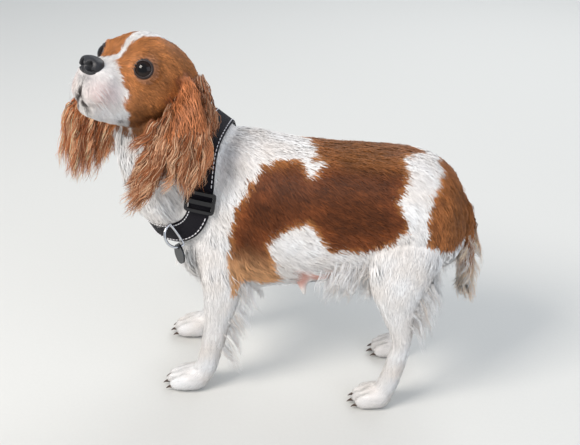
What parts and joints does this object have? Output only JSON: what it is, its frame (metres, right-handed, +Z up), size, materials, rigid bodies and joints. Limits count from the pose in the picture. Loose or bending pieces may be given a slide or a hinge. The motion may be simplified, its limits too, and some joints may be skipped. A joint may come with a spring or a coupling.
{
  "type": "cavalier king charles spaniel",
  "caption": "Life-size still figure of a standing Cavalier King Charles spaniel with its head turned and raised, long ears, feathered legs and tail, and a webbing collar.",
  "frame": {"origin": "middle of the underside of the whole dog's box, on the floor between the feet", "axes": "+Z up, the dog's body faces -X and its left side is -Y"},
  "size_m": [0.4862, 0.1688, 0.4088],
  "materials": {
    "coat": "white and chestnut dog's coat, short on head and back, long and silky on ears, chest, belly, legs and tail",
    "nose_leather": "moist pebbled black nose leather",
    "eye": "wet, very dark brown eye",
    "webbing": "black ribbed nylon webbing with white edge stitching",
    "slider": "moulded black plastic slider",
    "ring_steel": "polished nickel-plated steel wire",
    "tag_gloss": "plain glossy dark tag with no lettering"
  },
  "bodies": {
    "root": {"collar_slider": "slider", "collar_strap": "webbing", "d_ring": "ring_steel", "ear_left": "coat", "ear_right": "coat", "eye_left": "eye", "eye_right": "eye", "front_leg_left": "coat", "front_leg_right": "coat", "head": "coat", "hind_leg_left": "coat", "hind_leg_right": "coat", "neck": "coat", "nose": "nose_leather", "tag": "tag_gloss", "tail": "coat", "torso": "coat"}
  },
  "joints": []
}
